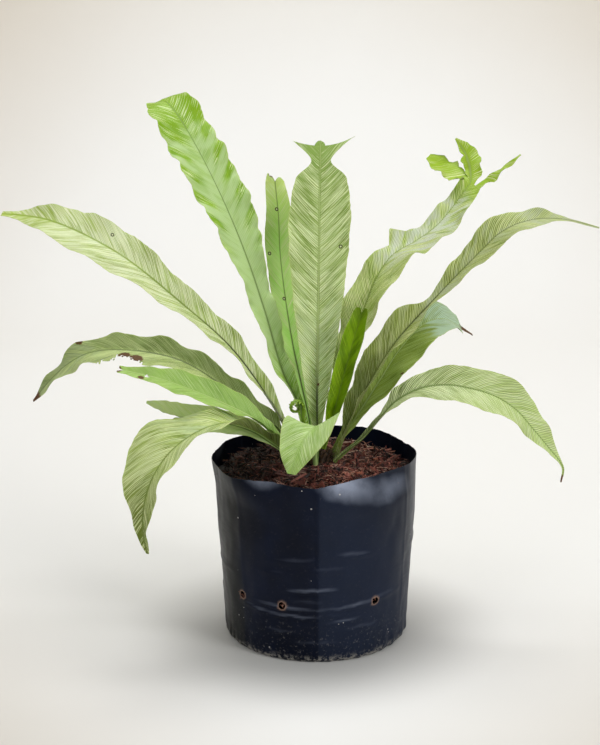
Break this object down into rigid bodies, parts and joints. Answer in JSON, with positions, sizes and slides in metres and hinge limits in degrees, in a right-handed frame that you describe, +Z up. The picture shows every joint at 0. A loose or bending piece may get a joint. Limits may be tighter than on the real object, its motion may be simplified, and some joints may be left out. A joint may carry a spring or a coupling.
{
  "type": "potted bird's nest fern",
  "caption": "Variegated bird's nest fern, a rosette of strap-shaped arching fronds, growing in a black polythene grow bag of coir.",
  "frame": {"origin": "centre of the grow bag's flat base, on the surface it stands on", "axes": "+Z up, -Y the front from which the plant is seen, +X to the right"},
  "size_m": [0.6045, 0.3106, 0.5147],
  "materials": {
    "film": "satin",
    "coir": "matte",
    "rhizome": "matte",
    "husk": "matte",
    "variegated_blade": "satin",
    "green_blade": "satin",
    "dark_blade": "satin",
    "young_growth": "satin"
  },
  "bodies": {
    "root": {"grow_bag": "film", "growing_medium": "coir", "rhizome_and_roots": "rhizome", "frond_rear_left_tall": "green_blade", "frond_rear_torn": "dark_blade", "frond_centre_tall": "variegated_blade", "frond_rear_right_crested": "variegated_blade", "frond_young_upright": "young_growth", "frond_right_long": "variegated_blade", "frond_right_behind": "dark_blade", "frond_right_arching": "variegated_blade", "frond_left_long": "variegated_blade", "frond_left_dark": "dark_blade", "frond_left_pale": "green_blade", "frond_left_forked": "green_blade", "frond_front_left_drooping": "variegated_blade", "frond_front_short": "green_blade", "crozier": "young_growth", "husk_chip_01": "husk", "husk_chip_02": "husk", "husk_chip_03": "husk", "husk_chip_04": "husk", "husk_chip_05": "husk", "husk_chip_06": "husk", "husk_chip_07": "husk", "husk_chip_08": "husk", "husk_chip_09": "husk", "husk_chip_10": "husk", "husk_chip_11": "husk", "husk_chip_12": "husk"}
  },
  "joints": []
}
